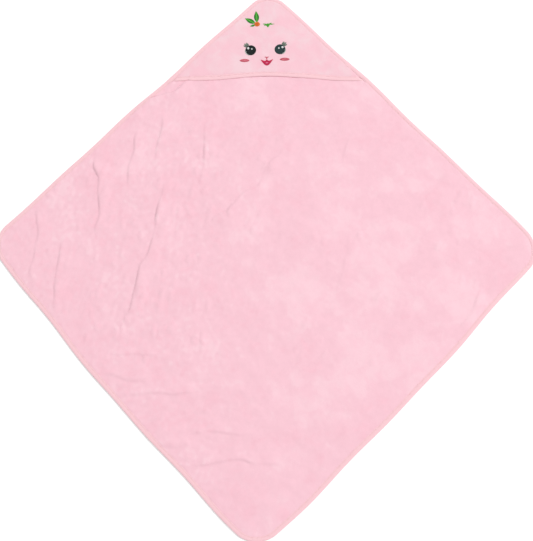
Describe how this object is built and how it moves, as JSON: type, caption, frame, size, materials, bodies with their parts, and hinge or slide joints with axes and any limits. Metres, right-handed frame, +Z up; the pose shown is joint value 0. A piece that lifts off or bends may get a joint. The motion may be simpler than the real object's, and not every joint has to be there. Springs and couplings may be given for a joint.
{
  "type": "hooded baby towel",
  "caption": "Square terry bath towel with bound edges and a hood sewn over one corner, embroidered with a small smiling face and leaves.",
  "frame": {"origin": "centre of the towel's square, on the surface that it lies on", "axes": "+Z up out of the face with the hood, +Y towards the hood corner, +X towards the corner on the right of the hood"},
  "size_m": [1.227, 1.227, 0.0168],
  "materials": {
    "towel_terry": "brushed cotton terry with a soft, clumped pile",
    "hood_velour": "short, smooth velour",
    "binding_tape": "woven cotton bias tape",
    "sewing_thread": "spun polyester thread",
    "backing_fleece": "thin non-woven stabiliser",
    "eye_thread": "satin-stitched rayon thread, soft sheen",
    "highlight_thread": "satin-stitched rayon thread, soft sheen",
    "lash_thread": "satin-stitched rayon thread, soft sheen",
    "cheek_thread": "satin-stitched rayon thread, soft sheen",
    "mouth_thread": "satin-stitched rayon thread, soft sheen",
    "tongue_thread": "satin-stitched rayon thread, soft sheen",
    "leaf_thread": "satin-stitched rayon thread, soft sheen",
    "berry_thread": "satin-stitched rayon thread, soft sheen"
  },
  "bodies": {
    "towel": {"towel_panel": "towel_terry", "edge_binding": "binding_tape", "edge_needle_thread": "sewing_thread", "edge_bobbin_thread": "sewing_thread"},
    "hood": {"hood_panel": "hood_velour", "hood_binding": "binding_tape", "hood_needle_thread": "sewing_thread", "hood_bobbin_thread": "sewing_thread", "embroidery_backing": "backing_fleece", "left_eye": "eye_thread", "left_eye_highlights": "highlight_thread", "left_lashes": "lash_thread", "right_eye": "eye_thread", "right_eye_highlights": "highlight_thread", "right_lashes": "lash_thread", "left_cheek": "cheek_thread", "right_cheek": "cheek_thread", "nose": "cheek_thread", "mouth": "mouth_thread", "tongue": "tongue_thread", "upper_leaf": "leaf_thread", "side_leaf": "leaf_thread", "lower_leaf": "leaf_thread", "berry": "berry_thread", "sprig": "leaf_thread"}
  },
  "joints": [
    {"name": "hood_lift", "type": "hinge", "parent": "towel", "child": "hood", "pos_m": [0, 0.60201, 0.0073], "axis": [-1, 0, 0], "range_deg": [0, 20]}
  ]
}
